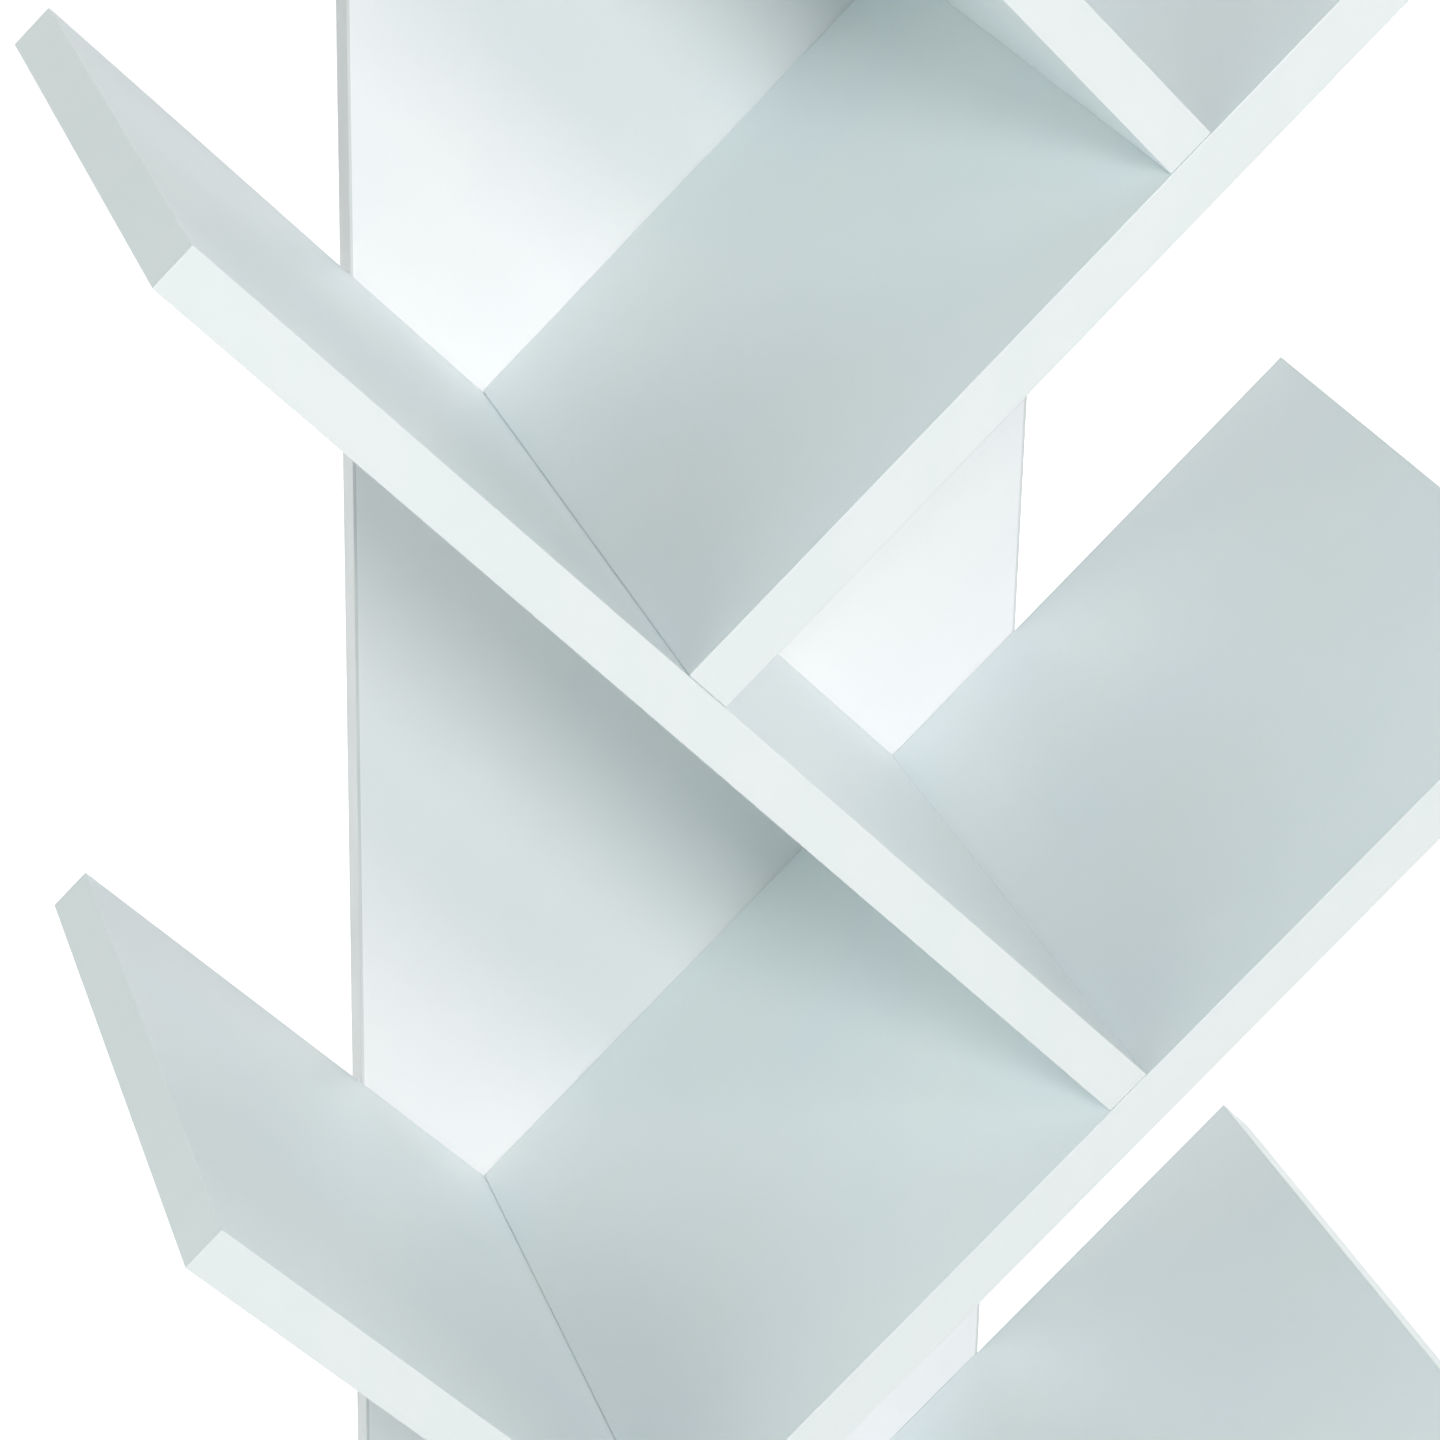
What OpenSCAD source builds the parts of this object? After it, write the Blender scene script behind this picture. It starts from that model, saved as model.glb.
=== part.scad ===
// Herringbone bookshelf: straight boards lean left and right by turns in front of a flat trunk.
// Each board stands square on the face of the board below, where screws and dowels hold it.
// Millimetres. +Z is up, the front faces -Y, and the origin is at the middle of the underside.

/* [Shelf boards] */
// Thickness of the shelf boards
board_t = 15; // [13:1:20]
// Depth of a shelf board from its front edge to the trunk
shelf_depth = 230; // [190:5:300]
// Length of a shelf board from its foot to its tip
shelf_length = 385; // [360:5:450]
// Distance from the top face of a board to that of its next parallel neighbour
shelf_pitch = 200; // [180:5:220]

/* [Trunk] */
// Width of the trunk panels
trunk_width = 225; // [215:5:260]
// Thickness of the trunk panels
trunk_t = 15; // [13:1:20]
// Height of the trunk above its highest screw
trunk_margin = 36; // [25:1:60]
// Distance from the seam of the trunk up to the screw just above it
seam_gap = 16; // [14:1:20]

/* [Base] */
// Width of the base plate
base_width = 340; // [300:5:420]
// Thickness of the base plate
base_t = 15; // [13:1:20]
// Radius of a floor glide
glide_r = 11; // [8:0.5:14]
// Height of a floor glide
glide_h = 5; // [3:0.5:10]
// Distance from the base plate's edges to the middle of a glide
glide_inset = 28; // [20:1:40]

/* [Edge bands] */
// Thickness of the edge bands
band_t = 1; // [0.8:0.1:2]
// Radius of the rounded long edges of a band
band_r = 0.3; // [0.2:0.1:0.7]
// Small bevel on a board's edges where it meets another board or the trunk
joint_bevel = 0.5; // [0.1:0.1:0.6]

/* [Connecting screws] */
// Length of a connecting screw
screw_length = 50; // [40:1:60]
// Radius of the screw's flat head
screw_head_r = 4.9; // [4.5:0.1:5.5]
// Radius of the smooth neck below the head
screw_neck_r = 3.4; // [3:0.1:3.6]
// Radius of the core of the thread
screw_core_r = 2.45; // [2:0.05:2.7]
// Width of the six-sided socket across its flats
screw_socket = 4; // [3:0.5:4]
// Distance from the front and back edges of a board to its foot screws
screw_inset = 37; // [30:1:50]
// Distance along a board from its foot to its first trunk screw
trunk_screw_foot = 75; // [65:1:90]
// Distance from the trunk's side to the outer trunk screws
trunk_screw_side = 19; // [15:1:24]
// Distance from the middle of the trunk to the screws and glued dowels of its ends
trunk_end_spread = 75; // [65:1:90]

/* [Dowels] */
// Radius of the wooden dowels
dowel_r = 4; // [3:0.5:4]
// Length of the wooden dowels
dowel_length = 30; // [25:1:35]
// Depth of a dowel's hole in the face of a board
dowel_face_depth = 10; // [8:0.5:11]
// Radius of the pins under the lowest board's foot
pin_r = 3; // [2:0.5:3]
// Length of the pins under the lowest board's foot
pin_length = 16; // [12:1:16]
// Distance from the middle of the lowest foot to its pins, towards the lean
pin_shift = 3; // [2:0.5:4]

/* [Covers] */
// Radius of a screw cover
cover_r = 6.5; // [5.5:0.1:8]
// Height of a screw cover
cover_h = 1.8; // [1:0.1:2]

/* [Steel fittings] */
// Length of a joining plate
plate_length = 80; // [70:1:100]
// Width of a joining plate
plate_width = 20; // [16:1:24]
// Thickness of a joining plate
plate_t = 2; // [2:0.1:3]
// Distance from the middle of the trunk to a joining plate
plate_spread = 48; // [42:1:55]
// Thickness of a wall bracket
bracket_t = 2; // [1.5:0.1:3]
// Width of a wall bracket
bracket_width = 30; // [26:1:40]
// Height of a wall bracket
bracket_height = 34; // [28:1:45]
// Distance from the middle of the trunk to a wall bracket
bracket_spread = 70; // [50:1:80]
// Radius of a bracket's hole for the wall screw
wall_hole_r = 2.75; // [2:0.05:3.5]

/* [Hidden] */

$fn = 48;

// Number of boards, and their lean, which lets a square foot sit flat
shelf_count = 8;
lean = 45;
// Board below the seam of the trunk, whose outer screw ties both panels together
seam_board = 4;

// Clearance round a screw, a dowel and a pin and at the ends of the bands
fit = 0.05;
// How far a cutter passes a face
past = 1;

// Small parts of the fasteners that no other size depends on
head_rim = 1;
head_cone = 2.4;
tip_length = 4;
socket_depth = 3;
pilot_extra = 2;
small_head_r = 3.4;
small_head_h = 1.6;
small_shank_r = 1.6;
small_core_r = 1.2;
small_length = 13;
pan_head_r = 3.6;
pan_head_h = 2;
glide_bevel = 1;
glide_nail_r = 1;
glide_nail_length = 10;
bracket_bend = 2.5;
plate_corner = 3;

// Heights of the base plate
base_bottom = glide_h;
base_top = base_bottom + base_t;

// Depths, with the joining plates as the rearmost pieces
overall_depth = shelf_depth + trunk_t + plate_t;
front_y = -overall_depth / 2;
trunk_front = front_y + shelf_depth;
trunk_back = trunk_front + trunk_t;
trunk_mid = trunk_front + trunk_t / 2;
base_depth = shelf_depth + trunk_t;

// The boards' feet lie left and right of the middle by turns, one step above the other
foot_x = shelf_pitch * cos(lean) / 2;
foot_step = shelf_pitch * sin(lean);
function foot_z(n) = base_top + (n - 1) * foot_step;
function leans_left(n) = n % 2 == 0;

// Places of the trunk screws and of the dowel between them, along a board from its foot
trunk_screw_far = (trunk_width / 2 - trunk_screw_side + foot_x) / cos(lean) - board_t / 2;
trunk_screw_spots = [trunk_screw_foot, trunk_screw_far];
trunk_dowel_spot = (trunk_screw_foot + trunk_screw_far) / 2;
function rise(spot) = (spot - board_t / 2) * sin(lean);

// Ends of the two trunk panels
seam_z = foot_z(seam_board) + rise(trunk_screw_far) - seam_gap;
trunk_top = foot_z(shelf_count) + rise(trunk_screw_far) + trunk_margin;

// Foot screws and the dowel half way between them, from the front edge of a board
foot_screw_spots = [screw_inset, shelf_depth - screw_inset];
foot_dowel_spots = [for (share = [1, 2]) screw_inset + share * (shelf_depth - 2 * screw_inset) / 3];

// Screws of the joining plates, from the plate's middle
plate_screw_spots = [for (side = [-1, 1], share = [0.35, 0.8]) side * share * plate_length / 2];

// Places things in the frame of board n: X from foot to tip, Y from front to trunk, Z out of its top face
module on_shelf(n) {
    if (leans_left(n)) mirror([1, 0, 0]) on_right_leaning(n) children();
    else on_right_leaning(n) children();
}

module on_right_leaning(n) {
    translate([-foot_x, front_y, foot_z(n)]) rotate([0, -lean, 0]) children();
}

// Places things on the foot screws of board n, with Z from the outer face of the board below to the foot
module at_foot_screws(n) {
    on_shelf(n)
        for (y = foot_screw_spots) translate([-board_t, y, -board_t / 2]) rotate([0, 90, 0]) children();
}

// Places things on the trunk screws of board n, with Z from the back of the trunk to the board
module at_trunk_screws(n) {
    on_shelf(n)
        for (x = trunk_screw_spots)
            translate([x, shelf_depth + trunk_t, -board_t / 2]) rotate([90, 0, 0]) children();
}

module at_foot_dowels(n) {
    on_shelf(n) for (y = foot_dowel_spots) translate([0, y, -board_t / 2]) rotate([0, 90, 0]) children();
}

module at_trunk_dowel(n) {
    on_shelf(n) translate([trunk_dowel_spot, shelf_depth, -board_t / 2]) rotate([90, 0, 0]) children();
}

module at_base_screws() {
    for (side = [-1, 1]) translate([side * trunk_end_spread, trunk_mid, base_bottom]) children();
}

module at_base_dowels() {
    for (side = [-1, 1]) translate([side * trunk_end_spread / 2, trunk_mid, base_top]) children();
}

module at_seam_dowels() {
    for (side = [-1, 1]) translate([side * trunk_end_spread, trunk_mid, seam_z]) children();
}

module at_foot_pins() {
    pin_x = -foot_x + board_t / (2 * sin(lean)) + pin_shift;
    for (y = foot_screw_spots) translate([pin_x, front_y + y, base_top]) children();
}

// Z points out of the trunk's back here
module at_plates() {
    for (side = [-1, 1]) translate([side * plate_spread, trunk_back, seam_z]) rotate([-90, 0, 0]) children();
}

module at_brackets() {
    for (side = [-1, 1]) translate([side * bracket_spread, trunk_back, trunk_top]) children();
}

module at_glides() {
    for (x = [-1, 1], y = [front_y + glide_inset, trunk_back - glide_inset])
        translate([x * (base_width / 2 - glide_inset), y, base_bottom]) children();
}

// Strip from 0 to length and from 0 to width whose two corners at the far end are round
module round_ended(length, width, r) {
    square([length - r, width]);
    translate([0, r]) square([length, width - 2 * r]);
    for (y = [r, width - r]) translate([length - r, y]) circle(r);
}

// The same with all four corners round
module round_cornered(length, width, r) {
    translate([r, 0]) square([length - 2 * r, width]);
    translate([0, r]) square([length, width - 2 * r]);
    for (x = [r, length - r], y = [r, width - r]) translate([x, y]) circle(r);
}

// Corner at the origin that the bevel takes off, for cutting
module bevel_corner() {
    reach = 2 * past;
    polygon([[-reach, -reach], [joint_bevel + reach, -reach], [-reach, joint_bevel + reach]]);
}

// Side view of a board with its bevelled foot and rounded tip
module shelf_side_view() {
    difference() {
        translate([0, -board_t]) round_ended(shelf_length, board_t, band_r);
        translate([0, -board_t]) bevel_corner();
        mirror([0, 1]) bevel_corner();
    }
}

// Section across a board with its rounded front edge and bevelled back edge, passing the back
module shelf_cross_section() {
    difference() {
        translate([shelf_depth + past, 0]) mirror([1, 0]) round_ended(shelf_depth + past, board_t, band_r);
        translate([shelf_depth, 0]) mirror([1, 0]) bevel_corner();
        translate([shelf_depth, board_t]) rotate(180) bevel_corner();
    }
}

// Whole shelf board with its bands on, in its own frame
module shelf_envelope() {
    difference() {
        intersection() {
            translate([0, shelf_depth, 0]) rotate([90, 0, 0])
                linear_extrude(shelf_depth + past) shelf_side_view();
            translate([-past, 0, -board_t]) rotate([90, 0, 90])
                linear_extrude(shelf_length + 2 * past) shelf_cross_section();
        }
        translate([0, 0, -board_t - past]) linear_extrude(board_t + 2 * past) bevel_corner();
    }
}

// Space above the base plate, which cuts the lowest board's foot level
module above_base() {
    translate([-2 * shelf_length, -overall_depth, base_top])
        cube([4 * shelf_length, 2 * overall_depth, 3 * shelf_length]);
}

// Part of board n in a box of its own frame, cut level where it stands on the base plate
module shelf_part(n, low, high) {
    if (n == 1) intersection() {
        on_shelf(n) shelf_slice(low, high);
        above_base();
    }
    else on_shelf(n) shelf_slice(low, high);
}

module shelf_slice(low, high) {
    intersection() {
        shelf_envelope();
        translate(low) cube(high - low);
    }
}

module shelf_board(n) {
    color("#e9f0ef") difference() {
        shelf_part(n, [-past, band_t, -board_t - past], [shelf_length - band_t, shelf_depth + past, past]);
        if (n > 1) {
            at_foot_screws(n) pilot_bore(board_t);
            at_foot_dowels(n) dowel_bore();
        }
        if (n < shelf_count) {
            at_foot_screws(n + 1) seat_bore(board_t);
            at_foot_dowels(n + 1) dowel_bore();
        }
        at_trunk_screws(n) pilot_bore(trunk_t);
        at_trunk_dowel(n) dowel_bore();
        if (n == 1) at_foot_pins() pin_bore();
    }
}

module shelf_front_bands() {
    color("#f4fbfa") for (n = [1:shelf_count])
        shelf_part(n, [fit, -past, -board_t - past], [shelf_length + past, band_t, past]);
}

module shelf_tip_bands() {
    color("#dfe7e5") for (n = [1:shelf_count])
        shelf_part(n, [shelf_length - band_t, band_t, -board_t - past],
                   [shelf_length + past, shelf_depth + past, past]);
}

// Stretch of the trunk between two heights, with its rounded long sides
module trunk_stretch(from, to) {
    translate([-trunk_width / 2, trunk_front, from])
        linear_extrude(to - from) round_cornered(trunk_width, trunk_t, band_r);
}

module trunk_panel_box() {
    translate([-trunk_width / 2 + band_t, trunk_front - past, 0])
        cube([trunk_width - 2 * band_t, trunk_t + 2 * past, trunk_top + past]);
}

module trunk_panel(from, to, boards) {
    color("#eef5f4") difference() {
        intersection() {
            trunk_stretch(from, to);
            trunk_panel_box();
        }
        for (n = boards) {
            at_trunk_screws(n) seat_bore(trunk_t);
            at_trunk_dowel(n) dowel_bore();
        }
        at_seam_dowels() end_dowel_bore();
        at_plates() for (x = plate_screw_spots) translate([0, x, plate_t]) small_screw_bore();
    }
}

module trunk_lower() {
    difference() {
        trunk_panel(base_top, seam_z, [1:seam_board]);
        at_base_screws() pilot_bore(base_t);
        at_base_dowels() dowel_bore();
    }
}

module trunk_upper() {
    difference() {
        trunk_panel(seam_z, trunk_top - band_t, [seam_board:shelf_count]);
        at_brackets() at_bracket_screws() pan_screw_bore();
    }
}

module trunk_side_bands(from, to) {
    difference() {
        trunk_stretch(from, to);
        trunk_panel_box();
    }
}

// Band along the trunk's top, with both upper edges round
module trunk_top_band() {
    intersection() {
        trunk_stretch(trunk_top - band_t, trunk_top + past);
        translate([-trunk_width, trunk_front, 0]) rotate([90, 0, 90]) linear_extrude(2 * trunk_width)
            translate([trunk_t, 0]) rotate(90) round_ended(trunk_top, trunk_t, band_r);
    }
}

module trunk_bands() {
    color("#dfe7e5") {
        trunk_side_bands(base_top, seam_z - fit);
        trunk_side_bands(seam_z, trunk_top - band_t - fit);
        difference() {
            trunk_top_band();
            at_brackets() at_bracket_screws() pan_screw_bore();
        }
    }
}

// Base plate with its bands on
module base_envelope() {
    intersection() {
        translate([-base_width / 2 - past, front_y, base_bottom]) rotate([90, 0, 90])
            linear_extrude(base_width + 2 * past) round_cornered(base_depth, base_t, band_r);
        translate([-base_width / 2, trunk_back + past, base_bottom]) rotate([90, 0, 0])
            linear_extrude(base_depth + 2 * past) round_cornered(base_width, base_t, band_r);
    }
}

module base_core_box() {
    translate([-base_width / 2 + band_t, front_y + band_t, 0])
        cube([base_width - 2 * band_t, base_depth - 2 * band_t, base_top + past]);
}

module base_plate() {
    color("#e9f0ef") difference() {
        intersection() {
            base_envelope();
            base_core_box();
        }
        at_base_screws() seat_bore(base_t);
        at_base_dowels() dowel_bore();
        at_foot_pins() pin_bore();
        at_glides() glide_bore();
    }
}

module base_bands() {
    side_start = front_y + band_t + fit;
    side_end = trunk_back - band_t - fit;
    color("#f4fbfa") {
        for (y = [front_y - past, trunk_back - band_t]) intersection() {
            base_envelope();
            translate([-base_width, y, 0]) cube([2 * base_width, band_t + past, base_top + past]);
        }
        for (side = [0, 1]) mirror([side, 0, 0]) intersection() {
            base_envelope();
            translate([base_width / 2 - band_t, side_start, 0])
                cube([band_t + past, side_end - side_start, base_top + past]);
        }
    }
}

// Connecting screw from the outer face at z = 0 into the next piece, with its neck inside the first one
module connecting_screw(host_t) {
    neck_end = host_t - 2 * fit;
    difference() {
        rotate_extrude() polygon([
            [0, 0], [screw_head_r, 0], [screw_head_r, head_rim], [screw_neck_r, head_cone + head_rim],
            [screw_neck_r, neck_end], [screw_core_r, neck_end], [screw_core_r, screw_length - tip_length],
            [0, screw_length]]);
        translate([0, 0, -past])
            cylinder(r = screw_socket / sqrt(3), h = past + socket_depth, $fn = 6);
    }
}

// Bores for it: a seat for the head and the neck in the first piece, a pilot hole in the second
module seat_bore(host_t) {
    rotate_extrude() polygon([
        [0, -past], [screw_head_r + fit, -past], [screw_head_r + fit, head_rim],
        [screw_neck_r + fit, head_cone + head_rim], [screw_neck_r + fit, host_t + past], [0, host_t + past]]);
}

module pilot_bore(host_t) {
    translate([0, 0, host_t - past])
        cylinder(r = screw_core_r + fit, h = past + screw_length - host_t + pilot_extra);
}

// Dowel across a face at z = 0, shallow below it and deeper above it
module dowel() {
    translate([0, 0, -dowel_face_depth + fit]) dowel_body();
}

// Dowel with bevelled ends, standing on z = 0
module dowel_body() {
    bevel = dowel_r / 4;
    rotate_extrude() polygon([
        [0, 0], [dowel_r - bevel, 0], [dowel_r, bevel], [dowel_r, dowel_length - bevel],
        [dowel_r - bevel, dowel_length], [0, dowel_length]]);
}

module dowel_bore() {
    translate([0, 0, -dowel_face_depth]) cylinder(r = dowel_r + fit, h = dowel_length + pilot_extra);
}

module end_dowel_bore() {
    cylinder(r = dowel_r + fit, h = dowel_length + pilot_extra, center = true);
}

module pin_bore() {
    cylinder(r = pin_r + fit, h = pin_length + 2 * fit, center = true);
}

// Round cover that hides a screw head, with a peg in its socket
module screw_cover() {
    edge = cover_h / 3;
    rotate_extrude() polygon([
        [0, socket_depth - 2 * fit], [screw_socket / 2 - fit, socket_depth - 2 * fit],
        [screw_socket / 2 - fit, 0], [cover_r, 0], [cover_r, -edge], [cover_r - edge, -2 * edge],
        [cover_r - 3 * edge, -cover_h], [0, -cover_h]]);
}

// Small flat-headed screw whose head is flush with the plate's outer face at z = 0
module small_screw() {
    rotate_extrude() polygon([
        [0, 0], [small_head_r, 0], [small_shank_r, -small_head_h], [small_shank_r, -plate_t],
        [small_core_r, -plate_t], [small_core_r, -small_length + tip_length], [0, -small_length]]);
}

module small_screw_bore() {
    mirror([0, 0, 1]) cylinder(r = small_core_r + fit, h = small_length + pilot_extra / 2);
}

module pan_screw() {
    rotate_extrude() polygon([
        [0, pan_head_h], [pan_head_r / 2, pan_head_h], [pan_head_r, pan_head_h / 3], [pan_head_r, 0],
        [small_shank_r, 0], [small_shank_r, -bracket_t], [small_core_r, -bracket_t],
        [small_core_r, -small_length + tip_length], [0, -small_length]]);
}

module pan_screw_bore() {
    mirror([0, 0, 1]) cylinder(r = small_core_r + fit, h = small_length + pilot_extra);
}

module foot_screws() {
    color("silver") for (n = [2:shelf_count]) at_foot_screws(n) connecting_screw(board_t);
}

module trunk_screws() {
    color("silver") for (n = [1:shelf_count]) at_trunk_screws(n) connecting_screw(trunk_t);
}

module base_screws() {
    color("silver") at_base_screws() connecting_screw(base_t);
}

module foot_dowels() {
    color("burlywood") for (n = [2:shelf_count]) at_foot_dowels(n) dowel();
}

module trunk_dowels() {
    color("burlywood") for (n = [1:shelf_count]) at_trunk_dowel(n) dowel();
}

module seam_dowels() {
    color("burlywood") at_seam_dowels() translate([0, 0, -dowel_length / 2]) dowel_body();
}

module base_dowels() {
    color("burlywood") at_base_dowels() dowel();
}

module foot_pins() {
    color("burlywood") at_foot_pins() cylinder(r = pin_r, h = pin_length, center = true);
}

module foot_screw_covers() {
    color("white") for (n = [2:shelf_count]) at_foot_screws(n) screw_cover();
}

module trunk_screw_covers() {
    color("white") for (n = [1:shelf_count]) at_trunk_screws(n) screw_cover();
}

// Flat plate with round corners and countersunk holes, lying on z = 0
module joining_plate() {
    difference() {
        translate([-plate_width / 2, -plate_length / 2])
            linear_extrude(plate_t) round_cornered(plate_width, plate_length, plate_corner);
        for (y = plate_screw_spots) translate([0, y, plate_t]) rotate_extrude() polygon([
            [0, past], [small_head_r + fit, past], [small_head_r + fit, 0],
            [small_shank_r + fit, -small_head_h], [small_shank_r + fit, -plate_t - past],
            [0, -plate_t - past]]);
    }
}

module joining_plates() {
    color("silver") at_plates() joining_plate();
}

module plate_screws() {
    color("gray") at_plates() for (y = plate_screw_spots) translate([0, y, plate_t]) small_screw();
}

module at_bracket_screws() {
    for (x = [-1, 1]) translate([x * bracket_width / 4, -trunk_t / 2, bracket_t]) children();
}

// Angle bracket with one leg on the trunk's top and one up the wall, with its bend at the back
module wall_bracket() {
    reach = trunk_t - bracket_t;
    difference() {
        rotate([90, 0, 90]) linear_extrude(bracket_width, center = true) {
            translate([-reach, 0]) square([reach - bracket_bend, bracket_t]);
            translate([-bracket_t, bracket_bend]) square([bracket_t, bracket_height - bracket_bend]);
            translate([-bracket_bend, bracket_bend]) intersection() {
                difference() {
                    circle(bracket_bend);
                    circle(bracket_bend - bracket_t);
                }
                translate([0, -bracket_bend]) square(bracket_bend);
            }
        }
        at_bracket_screws() translate([0, 0, -bracket_t - past])
            cylinder(r = small_shank_r + fit, h = bracket_t + 2 * past);
        translate([0, -bracket_t - past, bracket_height * 2 / 3]) rotate([-90, 0, 0])
            cylinder(r = wall_hole_r, h = bracket_t + 2 * past);
    }
}

module wall_brackets() {
    color("silver") at_brackets() wall_bracket();
}

module bracket_screws() {
    color("gray") at_brackets() at_bracket_screws() pan_screw();
}

// Nail-on glide under the base plate, with its nail up
module floor_glide() {
    rotate_extrude() polygon([
        [0, -glide_h], [glide_r - glide_bevel, -glide_h], [glide_r, -glide_h + glide_bevel], [glide_r, 0],
        [glide_nail_r, 0], [glide_nail_r, glide_nail_length - glide_nail_r], [0, glide_nail_length]]);
}

module glide_bore() {
    translate([0, 0, -past]) cylinder(r = glide_nail_r + fit, h = past + glide_nail_length + fit);
}

module floor_glides() {
    color("dimgray") at_glides() floor_glide();
}

base_plate();
trunk_lower();
trunk_upper();
shelf_board(1);  // shelf_1
shelf_board(2);  // shelf_2
shelf_board(3);  // shelf_3
shelf_board(4);  // shelf_4
shelf_board(5);  // shelf_5
shelf_board(6);  // shelf_6
shelf_board(7);  // shelf_7
shelf_board(8);  // shelf_8
shelf_front_bands();
shelf_tip_bands();
trunk_bands();
base_bands();
foot_screws();
trunk_screws();
base_screws();
foot_dowels();
trunk_dowels();
seam_dowels();
base_dowels();
foot_pins();
foot_screw_covers();
trunk_screw_covers();
joining_plates();
plate_screws();
wall_brackets();
bracket_screws();
floor_glides();
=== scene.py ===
import math

import bmesh
import bpy
from mathutils import Matrix, Vector


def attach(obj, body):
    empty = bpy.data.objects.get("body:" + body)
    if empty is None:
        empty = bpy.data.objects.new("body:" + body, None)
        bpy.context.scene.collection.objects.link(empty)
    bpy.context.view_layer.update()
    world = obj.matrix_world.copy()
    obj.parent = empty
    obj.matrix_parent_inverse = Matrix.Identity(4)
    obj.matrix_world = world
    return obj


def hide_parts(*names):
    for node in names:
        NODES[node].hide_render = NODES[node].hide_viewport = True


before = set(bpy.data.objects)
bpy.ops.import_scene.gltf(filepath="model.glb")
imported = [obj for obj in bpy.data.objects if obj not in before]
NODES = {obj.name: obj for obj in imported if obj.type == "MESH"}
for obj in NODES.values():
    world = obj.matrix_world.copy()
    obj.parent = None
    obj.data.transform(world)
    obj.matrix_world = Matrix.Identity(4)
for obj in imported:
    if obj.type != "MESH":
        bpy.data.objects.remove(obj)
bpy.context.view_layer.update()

# Camera of the photograph, in metres, degrees and millimetres
CAMERA_PLACE = (-0.3853, -1.1648, 1.3436)
CAMERA_TURN = (65.843, -1.178, -16.738)
CAMERA_LENS = 110.48

# Soft boxes: name, azimuth from the front towards the right and height in degrees, size in metres,
# strength in watts and colour
LIGHT_TARGET = Vector((0, 0, 0.75))
LIGHT_DISTANCE = 3.0
PLAIN = (1, 1, 1)
NEAR_PLAIN = (0.98, 0.98, 0.985)
WARM = (1, 0.85, 0.865)
COOL = (0.93, 1, 0.995)
SHADY = (0.885, 1, 0.99)
SOFT_BOXES = [
    ("front_left_box", -9, 28, 0.6, 38.6, NEAR_PLAIN),
    ("front_right_box", 15, 28, 0.5, 22.4, WARM),
    ("left_front_box", -65, 14, 2.4, 19.8, SHADY),
    ("left_back_box", -115, 14, 2.4, 17.7, PLAIN),
    ("right_box", 90, 30, 2.4, 30, COOL),
    ("back_box", 180, 22, 1.2, 28, PLAIN),
    ("top_box", 0, 89.9, 2.4, 13.5, COOL),
]
# A box that gloss and metal don't mirror, as it would turn the zinc as white as the background
UNMIRRORED = {"back_box"}

# Floor in metres: for the white rays its glow is weaker in the middle, a painted shade round the object, and
# near white further out
FLOOR_REACH = 9
FLOOR_CELLS = 8
FLOOR_COLOUR = (0.86, 0.875, 0.875)
FLOOR_ROUGHNESS = 0.9
GLOW_RADII = (0.2, 2.4)
PAINTED_SHADE_AND_WHITE_GLOW = (0.6, 0.97)

# Parts of a noise's range that are stretched over a ramp's outputs
WIDE = (0.3, 0.7)
NARROW = (0.35, 0.65)
SPECKLE_SHADE = 0.985

# Screws in metres. A head's profile gives radius and height from the top down. Height 0 is the pan head's
# underside and the flat head's top.
PAN_HEAD = [(0.0005, 0.00196), (0.0016, 0.00185), (0.0026, 0.0014), (0.0033, 0.0007), (0.0036, 0.0002),
            (0.0035, 0), (0.0016, 0), (0.0016, -0.002)]
PAN_HEIGHT = 0.002
PAN_LENGTH = 0.0149
FLAT_HEAD = [(0.0030, 0), (0.0033, -0.0001), (0.0016, -0.0016), (0.0016, -0.002)]
FLAT_LENGTH = 0.0129
NECK_LENGTH = 0.002
THREAD_CORE = 0.0011
THREAD_CREST = 0.0016
THREAD_PITCH = 0.0014
# Half a ridge's foot as a share of the pitch, the point's length in core radii and its blunt end's share
RIDGE_HALF = 0.22
POINT_LENGTH = 3.5
POINT_END = 0.04
# Corners of a screw's rings, and rings of one turn of its thread
AROUND = 40
PER_PITCH = 6

# Cross recess in metres. At its floor the arms are shorter by the share ARM_TAPER, and narrower by the
# share WIDTH_TAPER of that.
RECESS_ARM = 0.0019
RECESS_WIDTH = 0.0008
RECESS_DEPTH = 0.0013
ARM_TAPER = 0.65
WIDTH_TAPER = 0.4
BAR_CORNERS = ((-1, -1), (1, -1), (1, 1), (-1, 1))
BAR_FACES = ((3, 2, 1, 0), (4, 5, 6, 7), (0, 1, 5, 4), (1, 2, 6, 5), (2, 3, 7, 6), (3, 0, 4, 7))

# Turn of the first screw of a node, and of each further one, in degrees
FIRST_SPIN = 11
NEXT_SPIN = 37

# Angle in degrees from which a screw's edge stays sharp, and how far apart in metres vertices are one
SHARP_ANGLE = 35
WELD_DISTANCE = 1e-6


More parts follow.
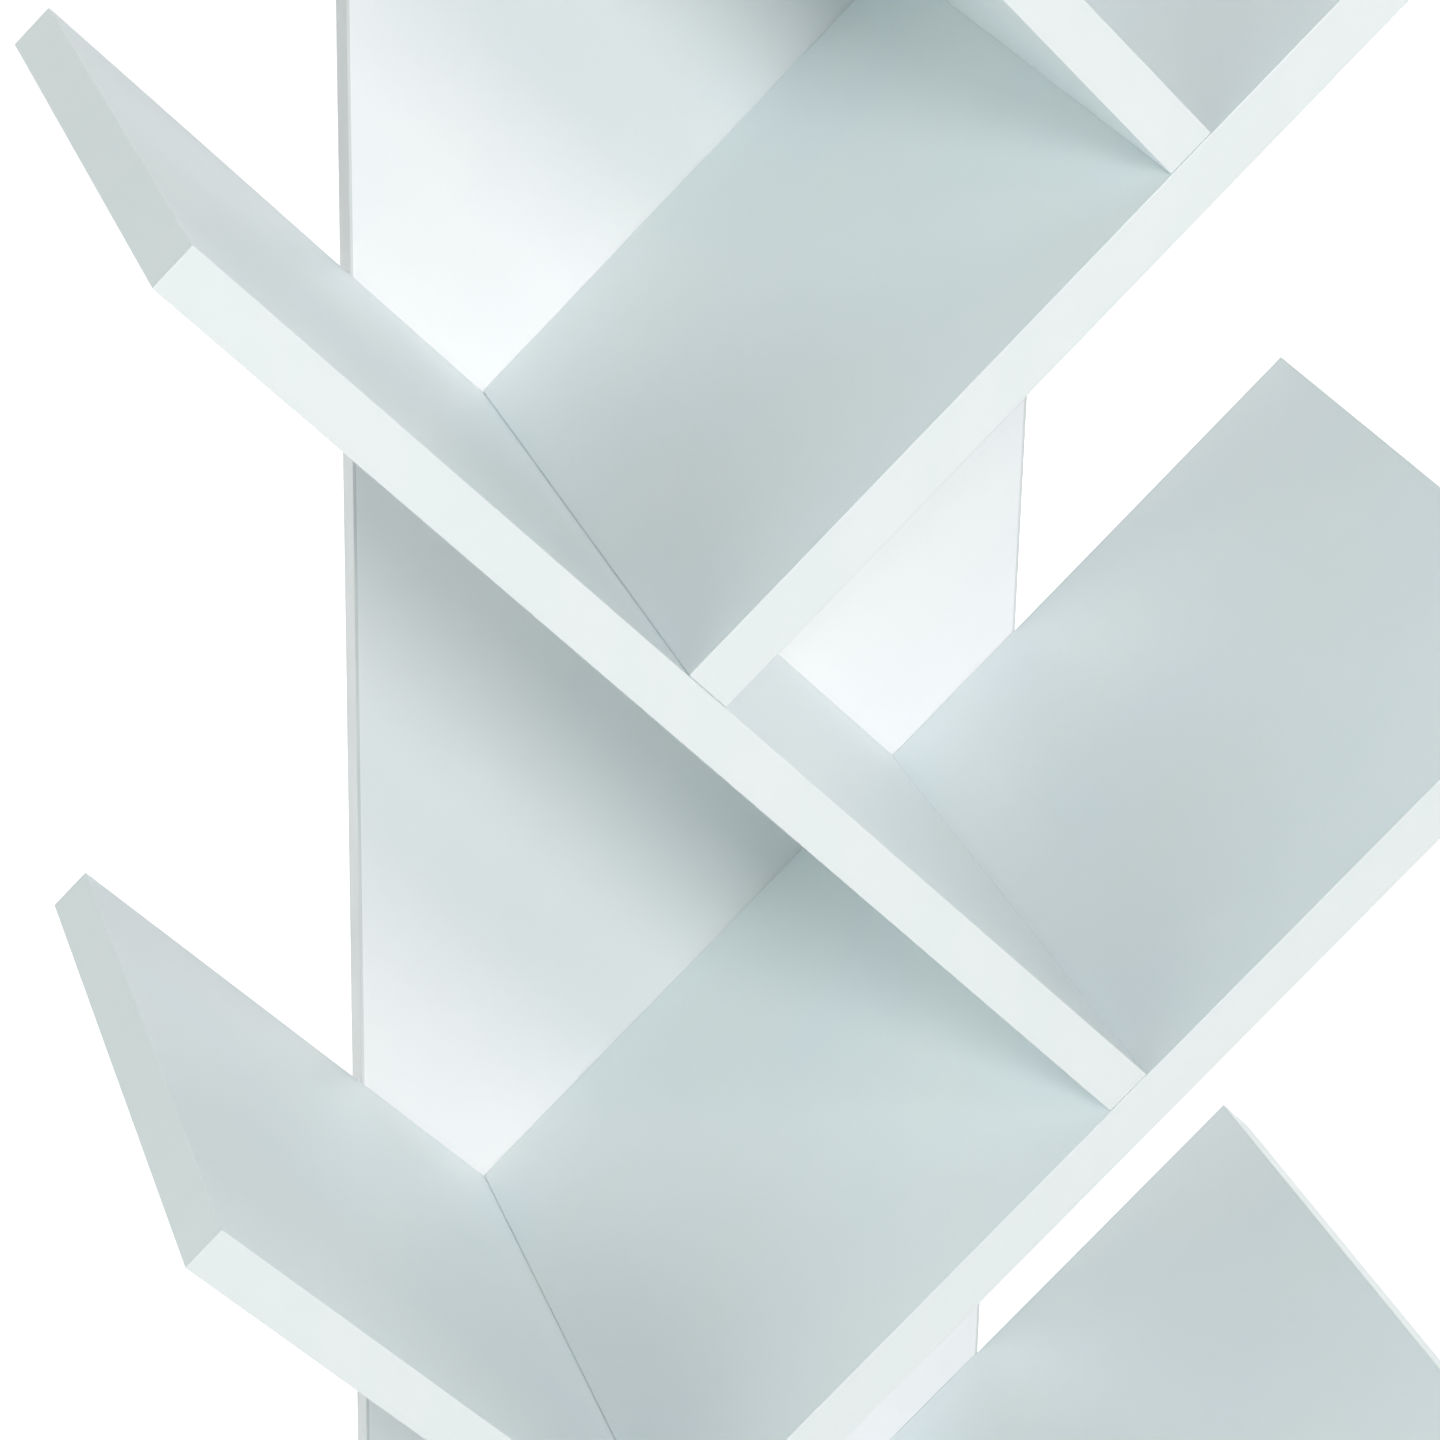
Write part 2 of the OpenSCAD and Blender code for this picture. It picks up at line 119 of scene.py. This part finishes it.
class Graph:
    """Node tree of a material, with short calls that add and join its nodes."""

    def __init__(self, name):
        self.material = bpy.data.materials.new(name)
        self.material.use_nodes = True
        self.tree = self.material.node_tree
        self.tree.nodes.clear()
        self.shader = self.add("ShaderNodeBsdfPrincipled")
        self.output = self.add("ShaderNodeOutputMaterial")
        self.join(self.shader.outputs["BSDF"], self.output.inputs["Surface"])
        self.place = self.add("ShaderNodeTexCoord").outputs["Object"]

    def add(self, kind, **settings):
        node = self.tree.nodes.new(kind)
        for key, value in settings.items():
            setattr(node, key, value)
        return node

    def join(self, source, target):
        self.tree.links.new(source, target)

    def surface(self, colour, roughness, normal):
        """Joins what the nodes make to the shader."""
        self.join(colour, self.shader.inputs["Base Color"])
        self.join(roughness, self.shader.inputs["Roughness"])
        self.join(normal, self.shader.inputs["Normal"])

    def stretch(self, turn=(0, 0, 0), scale=(1, 1, 1)):
        """The place on the object, scaled along its axes and then turned by the angles in degrees."""
        node = self.add("ShaderNodeMapping", vector_type="POINT")
        node.inputs["Rotation"].default_value = [math.radians(angle) for angle in turn]
        node.inputs["Scale"].default_value = scale
        self.join(self.place, node.inputs["Vector"])
        return node.outputs["Vector"]

    def noise(self, scale, detail, roughness, place=None):
        node = self.add("ShaderNodeTexNoise")
        node.inputs["Scale"].default_value = scale
        node.inputs["Detail"].default_value = detail
        node.inputs["Roughness"].default_value = roughness
        self.join(place or self.place, node.inputs["Vector"])
        return node.outputs["Fac"]

    def ramp(self, value, span, outputs=(0, 1)):
        """The value's span stretched over the outputs, and cut off beyond them."""
        node = self.add("ShaderNodeMapRange", clamp=True)
        for key, number in zip(("From Min", "From Max", "To Min", "To Max"), (*span, *outputs)):
            node.inputs[key].default_value = number
        self.join(value, node.inputs["Value"])
        return node.outputs["Result"]

    def mix(self, share, first, second):
        """Colour between two colours or sockets by a share."""
        node = self.add("ShaderNodeMix", data_type="RGBA")
        colours = [socket for socket in node.inputs if socket.type == "RGBA"]
        for socket, colour in zip(colours, (first, second)):
            if isinstance(colour, bpy.types.NodeSocket):
                self.join(colour, socket)
            else:
                socket.default_value = (*colour, 1)
        self.join(share, node.inputs[0])
        return next(socket for socket in node.outputs if socket.type == "RGBA")

    def bump(self, height, distance, strength):
        """Normal of a surface that the height raises by up to the distance, in metres."""
        node = self.add("ShaderNodeBump")
        node.inputs["Distance"].default_value = distance
        node.inputs["Strength"].default_value = strength
        self.join(height, node.inputs["Height"])
        return node.outputs["Normal"]


def srgb(red, green, blue):
    """Linear colour of an sRGB colour written from 0 to 255."""
    def linear(value):
        value /= 255
        return value / 12.92 if value <= 0.04045 else ((value + 0.055) / 1.055) ** 2.4
    return tuple(linear(value) for value in (red, green, blue))


def laminate(name, colour, cloudy):
    """White melamine facing: faint clouds and fine speckle in the colour, and an almost even satin gloss."""
    g = Graph(name)
    clouds = g.ramp(g.noise(scale=16, detail=3, roughness=0.55), NARROW)
    speckle = g.ramp(g.noise(scale=1400, detail=2, roughness=0.6), WIDE, outputs=(0, 0.5))
    speckle_colour = tuple(SPECKLE_SHADE * channel for channel in colour)
    gloss = g.ramp(g.noise(scale=7, detail=1, roughness=0.4), WIDE, outputs=(0.375, 0.385))
    relief = g.bump(g.noise(scale=40, detail=1, roughness=0.4), distance=0.000001, strength=0.2)
    g.surface(g.mix(speckle, g.mix(clouds, colour, cloudy), speckle_colour), gloss, relief)
    return g.material


def edge_band(name, colour, cloudy):
    """White edge band: glossier than the facing, with faint drawn streaks."""
    g = Graph(name)
    streaks = g.noise(scale=60, detail=2, roughness=0.5, place=g.stretch(scale=(1, 1, 0.25)))
    gloss = g.ramp(g.noise(scale=40, detail=3, roughness=0.5), WIDE, outputs=(0.3, 0.36))
    relief = g.bump(g.noise(scale=220, detail=1, roughness=0.4), distance=0.000002, strength=0.5)
    g.surface(g.mix(g.ramp(streaks, NARROW), colour, cloudy), gloss, relief)
    return g.material


def zinc(name, colour, spangle):
    """Zinc plating: cool grey metal with cloudy spangle and fine rolling marks."""
    g = Graph(name)
    clouds = g.ramp(g.noise(scale=450, detail=3, roughness=0.6), NARROW)
    marks = g.noise(scale=900, detail=2, roughness=0.5, place=g.stretch(scale=(1, 1, 0.06)))
    relief = g.bump(marks, distance=0.00001, strength=0.4)
    g.surface(g.mix(clouds, colour, spangle), g.ramp(marks, WIDE, outputs=(0.28, 0.42)), relief)
    g.shader.inputs["Metallic"].default_value = 1
    return g.material


def beech(name):
    """Beech with its grain and short dark flecks."""
    g = Graph(name)
    turn = (0, 45, 0)
    grain = g.noise(scale=260, detail=4, roughness=0.6, place=g.stretch(turn, scale=(0.15, 1, 1)))
    specks = g.noise(scale=1500, detail=1, roughness=0.4, place=g.stretch(turn, scale=(0.3, 1, 1)))
    wood = g.mix(g.ramp(grain, WIDE), srgb(206, 164, 118), srgb(228, 194, 150))
    flecks = g.ramp(specks, span=(0.68, 0.72))
    relief = g.bump(grain, distance=0.00005, strength=0.5)
    g.surface(g.mix(flecks, wood, srgb(150, 108, 70)), g.ramp(grain, WIDE, outputs=(0.55, 0.7)), relief)
    return g.material


def moulded(name, colour, worn, rough, grain):
    """Moulded plastic with a fine spark-eroded grain and slightly worn patches."""
    g = Graph(name)
    patches = g.ramp(g.noise(scale=180, detail=3, roughness=0.6), span=(0.4, 0.7))
    gloss = g.ramp(g.noise(scale=500, detail=2, roughness=0.5), WIDE, outputs=rough)
    relief = g.bump(g.noise(scale=grain, detail=2, roughness=0.5), distance=0.00002, strength=0.3)
    g.surface(g.mix(patches, colour, worn), gloss, relief)
    return g.material


BOARD = laminate("laminate_boards", srgb(233.5, 241.5, 241), srgb(230.5, 240, 242.5))
TRUNK = laminate("laminate_trunk", srgb(239.5, 242, 241.5), srgb(237.5, 241, 242))
BAND = edge_band("edge_band_white", srgb(230, 239, 238), srgb(228, 238, 237))
# The trunk's bands are the white edge band darkened: painted shade of their side faces
SHADED_TRUNK_BAND = edge_band("edge_band_trunk_painted_shade", srgb(216, 220, 219), srgb(212, 217, 216))
SCREW = zinc("screw_zinc", srgb(172, 175, 179), srgb(150, 154, 159))
SHEET = zinc("sheet_zinc", srgb(176, 180, 184), srgb(152, 157, 163))
WOOD = beech("dowel_beech")
COVER = moulded("cover_white", srgb(236, 242, 242), srgb(231, 238, 238), rough=(0.3, 0.4), grain=1200)
GLIDE = moulded("glide_grey", srgb(112, 115, 118), srgb(128, 131, 134), rough=(0.5, 0.6), grain=800)

# Materials of the nodes; those not named here are boards
MATERIALS = {
    "shelf_front_bands": BAND, "shelf_tip_bands": BAND, "base_bands": BAND, "trunk_bands": SHADED_TRUNK_BAND,
    "trunk_lower": TRUNK, "trunk_upper": TRUNK,
    "foot_screws": SCREW, "trunk_screws": SCREW, "base_screws": SCREW,
    "joining_plates": SHEET, "wall_brackets": SHEET,
    "foot_dowels": WOOD, "trunk_dowels": WOOD, "seam_dowels": WOOD, "base_dowels": WOOD, "foot_pins": WOOD,
    "foot_screw_covers": COVER, "trunk_screw_covers": COVER, "floor_glides": GLIDE,
}
for name, obj in NODES.items():
    for slot in obj.material_slots:
        slot.material = MATERIALS.get(name, BOARD)


def solids(node):
    """Lowest and highest corner of each separate solid of a CAD node."""
    bm = bmesh.new()
    bm.from_mesh(NODES[node].data)
    bmesh.ops.remove_doubles(bm, verts=bm.verts, dist=WELD_DISTANCE)
    remaining, boxes = set(bm.verts), []
    while remaining:
        group, frontier = set(), [remaining.pop()]
        while frontier:
            vert = frontier.pop()
            group.add(vert)
            for edge in vert.link_edges:
                other = edge.other_vert(vert)
                if other in remaining:
                    remaining.remove(other)
                    frontier.append(other)
        boxes.append([Vector(limit(v.co[i] for v in group) for i in range(3)) for limit in (min, max)])
    bm.free()
    return sorted(boxes, key=lambda pair: tuple(pair[0]))


def screw_mesh(name, head, length):
    """Screw along -Z with its head profile, a rolled thread from the neck down and a cross recess."""
    rings = [[(radius, z)] * AROUND for radius, z in head]
    rows = int((length - NECK_LENGTH) / THREAD_PITCH * PER_PITCH)
    for row in range(rows + 1):
        z = -NECK_LENGTH - (length - NECK_LENGTH) * row / rows
        point = max(min(1, (length + z) / (POINT_LENGTH * THREAD_CORE)), POINT_END)
        start = min(1, row / PER_PITCH)
        ring = []
        for k in range(AROUND):
            phase = (z / THREAD_PITCH - k / AROUND) % 1
            ridge = max(0, 1 - abs(phase - 0.5) / RIDGE_HALF)
            ring.append(((THREAD_CORE + (THREAD_CREST - THREAD_CORE) * ridge * start) * point, z))
        rings.append(ring)
    bm = bmesh.new()
    verts = []
    angles = [math.tau * k / AROUND for k in range(AROUND)]
    for ring in rings:
        verts.append([bm.verts.new((radius * math.cos(angle), radius * math.sin(angle), z))
                      for angle, (radius, z) in zip(angles, ring)])
    for upper, lower in zip(verts, verts[1:]):
        for k in range(AROUND):
            bm.faces.new((upper[k], lower[k], lower[(k + 1) % AROUND], upper[(k + 1) % AROUND]))
    bm.faces.new(verts[0])
    bm.faces.new(reversed(verts[-1]))
    bmesh.ops.recalc_face_normals(bm, faces=bm.faces)
    mesh = bpy.data.meshes.new(name)
    bm.to_mesh(mesh)
    bm.free()
    top = head[0][1]
    return cut_recess(mesh, top)


def cross_mesh(top):
    """Two crossed bars that widen upwards, with the given height half way up."""
    bm = bmesh.new()
    for turn in (0, math.pi / 2):
        corners = []
        for z, share in ((top - RECESS_DEPTH, 1 - ARM_TAPER), (top + RECESS_DEPTH, 1 + ARM_TAPER)):
            half_width = RECESS_WIDTH / 2 * (1 - WIDTH_TAPER + WIDTH_TAPER * share)
            for x, y in BAR_CORNERS:
                spot = Vector((x * RECESS_ARM * share, y * half_width, z))
                corners.append(bm.verts.new(Matrix.Rotation(turn, 3, "Z") @ spot))
        for face in BAR_FACES:
            bm.faces.new([corners[i] for i in face])
    mesh = bpy.data.meshes.new("cross")
    bm.to_mesh(mesh)
    bm.free()
    return mesh


def cut_recess(mesh, top):
    """The screw's mesh with a cross recess in its head, whose top is at the given height."""
    body, tool = bpy.data.objects.new("body", mesh), bpy.data.objects.new("tool", cross_mesh(top))
    for obj in (body, tool):
        bpy.context.scene.collection.objects.link(obj)
    cut = body.modifiers.new("cut", "BOOLEAN")
    cut.operation = "DIFFERENCE"
    cut.object = tool
    cut.solver = "EXACT"
    cut.use_self = True
    bpy.context.view_layer.update()
    result = bpy.data.meshes.new_from_object(body.evaluated_get(bpy.context.evaluated_depsgraph_get()))
    for obj in (body, tool):
        bpy.data.objects.remove(obj)
    for polygon in result.polygons:
        polygon.use_smooth = True
    result.set_sharp_from_angle(angle=math.radians(SHARP_ANGLE))
    return result


def top_middle(low, high):
    """Place of a pan head's underside, where the screw stands with its head up."""
    return Vector(((low.x + high.x) / 2, (low.y + high.y) / 2, high.z - PAN_HEIGHT))


def back_middle(low, high):
    """Place of a flat head's top, where the screw lies with its head to the back."""
    return Vector(((low.x + high.x) / 2, high.y, (low.z + high.z) / 2))


def place_screws(node, mesh, turn, head_place):
    """Puts a copy of the screw in the place of each solid of a node, each turned about its own axis."""
    mesh.materials.clear()
    mesh.materials.append(SCREW)
    for number, (low, high) in enumerate(solids(node)):
        screw = bpy.data.objects.new(f"{node}_{number + 1}", mesh)
        spin = Matrix.Rotation(math.radians(NEXT_SPIN * number + FIRST_SPIN), 4, "Z")
        screw.matrix_world = Matrix.Translation(head_place(low, high)) @ turn @ spin
        bpy.context.scene.collection.objects.link(screw)
        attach(screw, "root")
        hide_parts(node)


HEAD_UP = Matrix.Identity(4)
HEAD_BACK = Matrix.Rotation(math.radians(-90), 4, "X")
pan_screw = screw_mesh("pan_screw", PAN_HEAD, PAN_LENGTH)
flat_screw = screw_mesh("flat_screw", FLAT_HEAD, FLAT_LENGTH)
place_screws("bracket_screws", pan_screw, HEAD_UP, top_middle)
place_screws("plate_screws", flat_screw, HEAD_BACK, back_middle)


def white_rays(tree):
    """Socket that is 1 for camera, glossy and transmission rays, which see the background, and else 0."""
    rays = tree.nodes.new("ShaderNodeLightPath")
    share = rays.outputs["Is Camera Ray"]
    for kind in ("Is Glossy Ray", "Is Transmission Ray"):
        either = tree.nodes.new("ShaderNodeMath")
        either.operation = "MAXIMUM"
        tree.links.new(share, either.inputs[0])
        tree.links.new(rays.outputs[kind], either.inputs[1])
        share = either.outputs[0]
    return share


def stage_material():
    """Pale material that takes the shadow and, for the white rays only, glows weaker in the middle as
    painted shade round the object and towards white with distance.
    """
    g = Graph("floor_white")
    g.shader.inputs["Base Color"].default_value = (*FLOOR_COLOUR, 1)
    g.shader.inputs["Roughness"].default_value = FLOOR_ROUGHNESS
    middle = g.add("ShaderNodeVectorMath", operation="LENGTH")
    g.join(g.place, middle.inputs[0])
    strength = g.add("ShaderNodeMath", operation="MULTIPLY")
    g.join(white_rays(g.tree), strength.inputs[0])
    # Weaker glow near the middle: painted shade round the object
    g.join(g.ramp(middle.outputs["Value"], GLOW_RADII, PAINTED_SHADE_AND_WHITE_GLOW), strength.inputs[1])
    glow = g.add("ShaderNodeEmission")
    g.join(strength.outputs[0], glow.inputs["Strength"])
    both = g.add("ShaderNodeAddShader")
    g.join(g.shader.outputs[0], both.inputs[0])
    g.join(glow.outputs[0], both.inputs[1])
    g.join(both.outputs[0], g.output.inputs["Surface"])
    return g.material


def add_floor():
    """Pale floor that shows white to the camera, with painted shade round its middle, and keeps the shadow.
    """
    mesh = bpy.data.meshes.new("floor")
    bm = bmesh.new()
    bmesh.ops.create_grid(bm, x_segments=FLOOR_CELLS, y_segments=FLOOR_CELLS, size=FLOOR_REACH)
    bm.to_mesh(mesh)
    bm.free()
    floor = bpy.data.objects.new("floor", mesh)
    bpy.context.scene.collection.objects.link(floor)
    floor.data.materials.append(stage_material())


def add_light(name, azimuth, height, size, strength, colour):
    """Round soft box that faces the lights' target."""
    data = bpy.data.lights.new(name, "AREA")
    data.shape = "DISK"
    data.size = size
    data.energy = strength
    data.color = colour
    light = bpy.data.objects.new(name, data)
    turn, rise = math.radians(azimuth), math.radians(height)
    away = Vector((math.sin(turn) * math.cos(rise), -math.cos(turn) * math.cos(rise), math.sin(rise)))
    light.location = LIGHT_TARGET + LIGHT_DISTANCE * away
    light.rotation_euler = away.to_track_quat("Z", "Y").to_euler()
    light.visible_glossy = name not in UNMIRRORED
    bpy.context.scene.collection.objects.link(light)


def add_world():
    """World that is white to camera, glossy and transmission rays and gives no light of its own."""
    world = bpy.data.worlds.new("world")
    bpy.context.scene.world = world
    world.use_nodes = True
    tree = world.node_tree
    tree.nodes.clear()
    white = tree.nodes.new("ShaderNodeBackground")
    white.inputs["Color"].default_value = (1, 1, 1, 1)
    out = tree.nodes.new("ShaderNodeOutputWorld")
    tree.links.new(white_rays(tree), white.inputs["Strength"])
    tree.links.new(white.outputs[0], out.inputs[0])


def add_camera():
    """Camera of the photograph."""
    data = bpy.data.cameras.new("camera")
    data.lens = CAMERA_LENS
    camera = bpy.data.objects.new("camera", data)
    camera.location = CAMERA_PLACE
    camera.rotation_euler = [math.radians(angle) for angle in CAMERA_TURN]
    bpy.context.scene.collection.objects.link(camera)
    bpy.context.scene.camera = camera


add_floor()
for box in SOFT_BOXES:
    add_light(*box)
add_world()
add_camera()
bpy.context.scene.view_settings.view_transform = "Standard"
